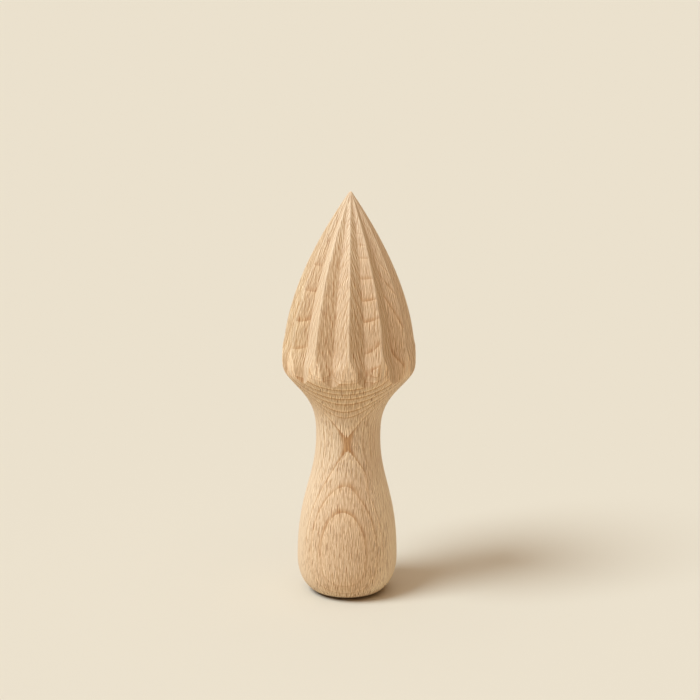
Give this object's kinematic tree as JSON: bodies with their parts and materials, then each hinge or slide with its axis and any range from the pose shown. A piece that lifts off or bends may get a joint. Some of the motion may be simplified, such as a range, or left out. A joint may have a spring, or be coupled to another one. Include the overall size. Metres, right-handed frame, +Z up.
{
  "type": "citrus reamer",
  "caption": "Turned wooden hand reamer for citrus: a pear-shaped grip, a narrow waist and a pointed, fluted head that is twisted into a halved fruit to press out the juice.",
  "frame": {"origin": "centre of the flat foot that the reamer stands on", "axes": "+Z up the turning axis from the foot to the point; -Y is the side the picture shows, where one ridge of the head faces the viewer; +X is to the viewer's right"},
  "size_m": [0.0486, 0.0486, 0.15],
  "materials": {
    "beech": "raw, fine sanded, lightly oiled"
  },
  "bodies": {
    "root": {"reamer": "beech"}
  },
  "joints": []
}
